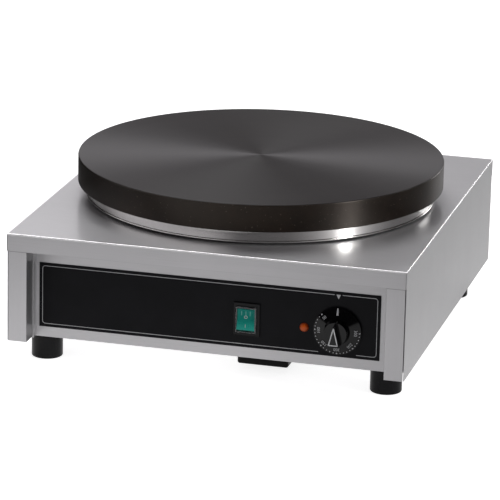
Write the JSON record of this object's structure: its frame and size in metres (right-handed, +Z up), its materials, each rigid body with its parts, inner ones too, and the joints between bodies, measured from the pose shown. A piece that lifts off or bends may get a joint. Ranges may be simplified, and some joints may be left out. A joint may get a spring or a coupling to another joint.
{
  "type": "electric crepe maker",
  "caption": "Countertop electric crepe maker: round cast-iron griddle on a folded stainless casing with a recessed control panel.",
  "frame": {"origin": "on the floor, under the middle of the casing", "axes": "+Z up through the griddle, -Y towards the user and the controls, +X to the user's right"},
  "size_m": [0.43, 0.462, 0.1926],
  "materials": {
    "stainless_sheet": "fine brushed stainless sheet",
    "polished_collar": "polished stainless",
    "griddle_iron": "turned and seasoned cast iron, satin",
    "overlay_film": "satin black printed film",
    "black_plastic": "moulded satin black",
    "knob_black": "glossy moulded black",
    "rocker_green": "translucent green",
    "clear_plastic": "clear moulded",
    "lens_amber": "translucent amber",
    "foot_rubber": "matt black rubber",
    "zinc_steel": "zinc plated",
    "element_sheath": "heat-darkened stainless tube",
    "mineral_blanket": "fibrous mineral blanket",
    "copper_tube": "drawn copper",
    "brass_contact": "plain brass",
    "lead_sleeve": "white silicone sleeve",
    "earth_sleeve": "green and yellow sleeve",
    "block_ceramic": "unglazed steatite"
  },
  "bodies": {
    "chassis": {"top_casing": "stainless_sheet", "front_panel": "stainless_sheet", "rear_panel": "stainless_sheet", "base_plate": "stainless_sheet", "base_screws": "zinc_steel", "fascia_label": "overlay_film", "terminal_cover": "black_plastic", "terminal_cover_screws": "zinc_steel", "foot_front_left": "foot_rubber", "foot_front_right": "foot_rubber", "foot_rear_left": "foot_rubber", "foot_rear_right": "foot_rubber", "foot_screws": "zinc_steel", "foot_nuts": "zinc_steel", "griddle_plate": "griddle_iron", "skirt_ring": "polished_collar", "heat_tray": "stainless_sheet", "insulation_disc": "mineral_blanket", "plate_studs": "zinc_steel", "stud_sleeves": "zinc_steel", "stud_washers": "zinc_steel", "stud_nuts": "zinc_steel", "heating_element": "element_sheath", "element_clamps": "zinc_steel", "clamp_bolts": "zinc_steel", "bulb_clip": "zinc_steel", "thermostat_body": "black_plastic", "thermostat_screws": "zinc_steel", "thermostat_bulb": "copper_tube", "switch_housing": "black_plastic", "switch_frame": "clear_plastic", "rocker_pin": "zinc_steel", "switch_terminals": "brass_contact", "lamp_lens": "lens_amber", "lamp_body": "black_plastic", "lamp_clip": "zinc_steel", "terminal_block": "block_ceramic", "terminal_screws": "brass_contact", "supply_leads": "lead_sleeve", "element_leads": "lead_sleeve", "lamp_leads": "lead_sleeve", "earth_lead": "earth_sleeve", "cable_gland": "black_plastic", "gland_locknut": "black_plastic", "bonding_stud": "zinc_steel", "bonding_nut": "zinc_steel"},
    "knob": {"knob": "knob_black", "knob_clip": "zinc_steel", "thermostat_shaft": "zinc_steel"},
    "rocker": {"rocker": "rocker_green"}
  },
  "joints": [
    {"name": "knob_turn", "type": "hinge", "parent": "chassis", "child": "knob", "pos_m": [0.1372, -0.2109, 0.0665], "axis": [0, 1, 0], "range_deg": [0, 270]},
    {"name": "rocker_tilt", "type": "hinge", "parent": "chassis", "child": "rocker", "pos_m": [0.039, -0.1989, 0.069], "axis": [1, 0, 0], "range_deg": [0, 16]}
  ]
}
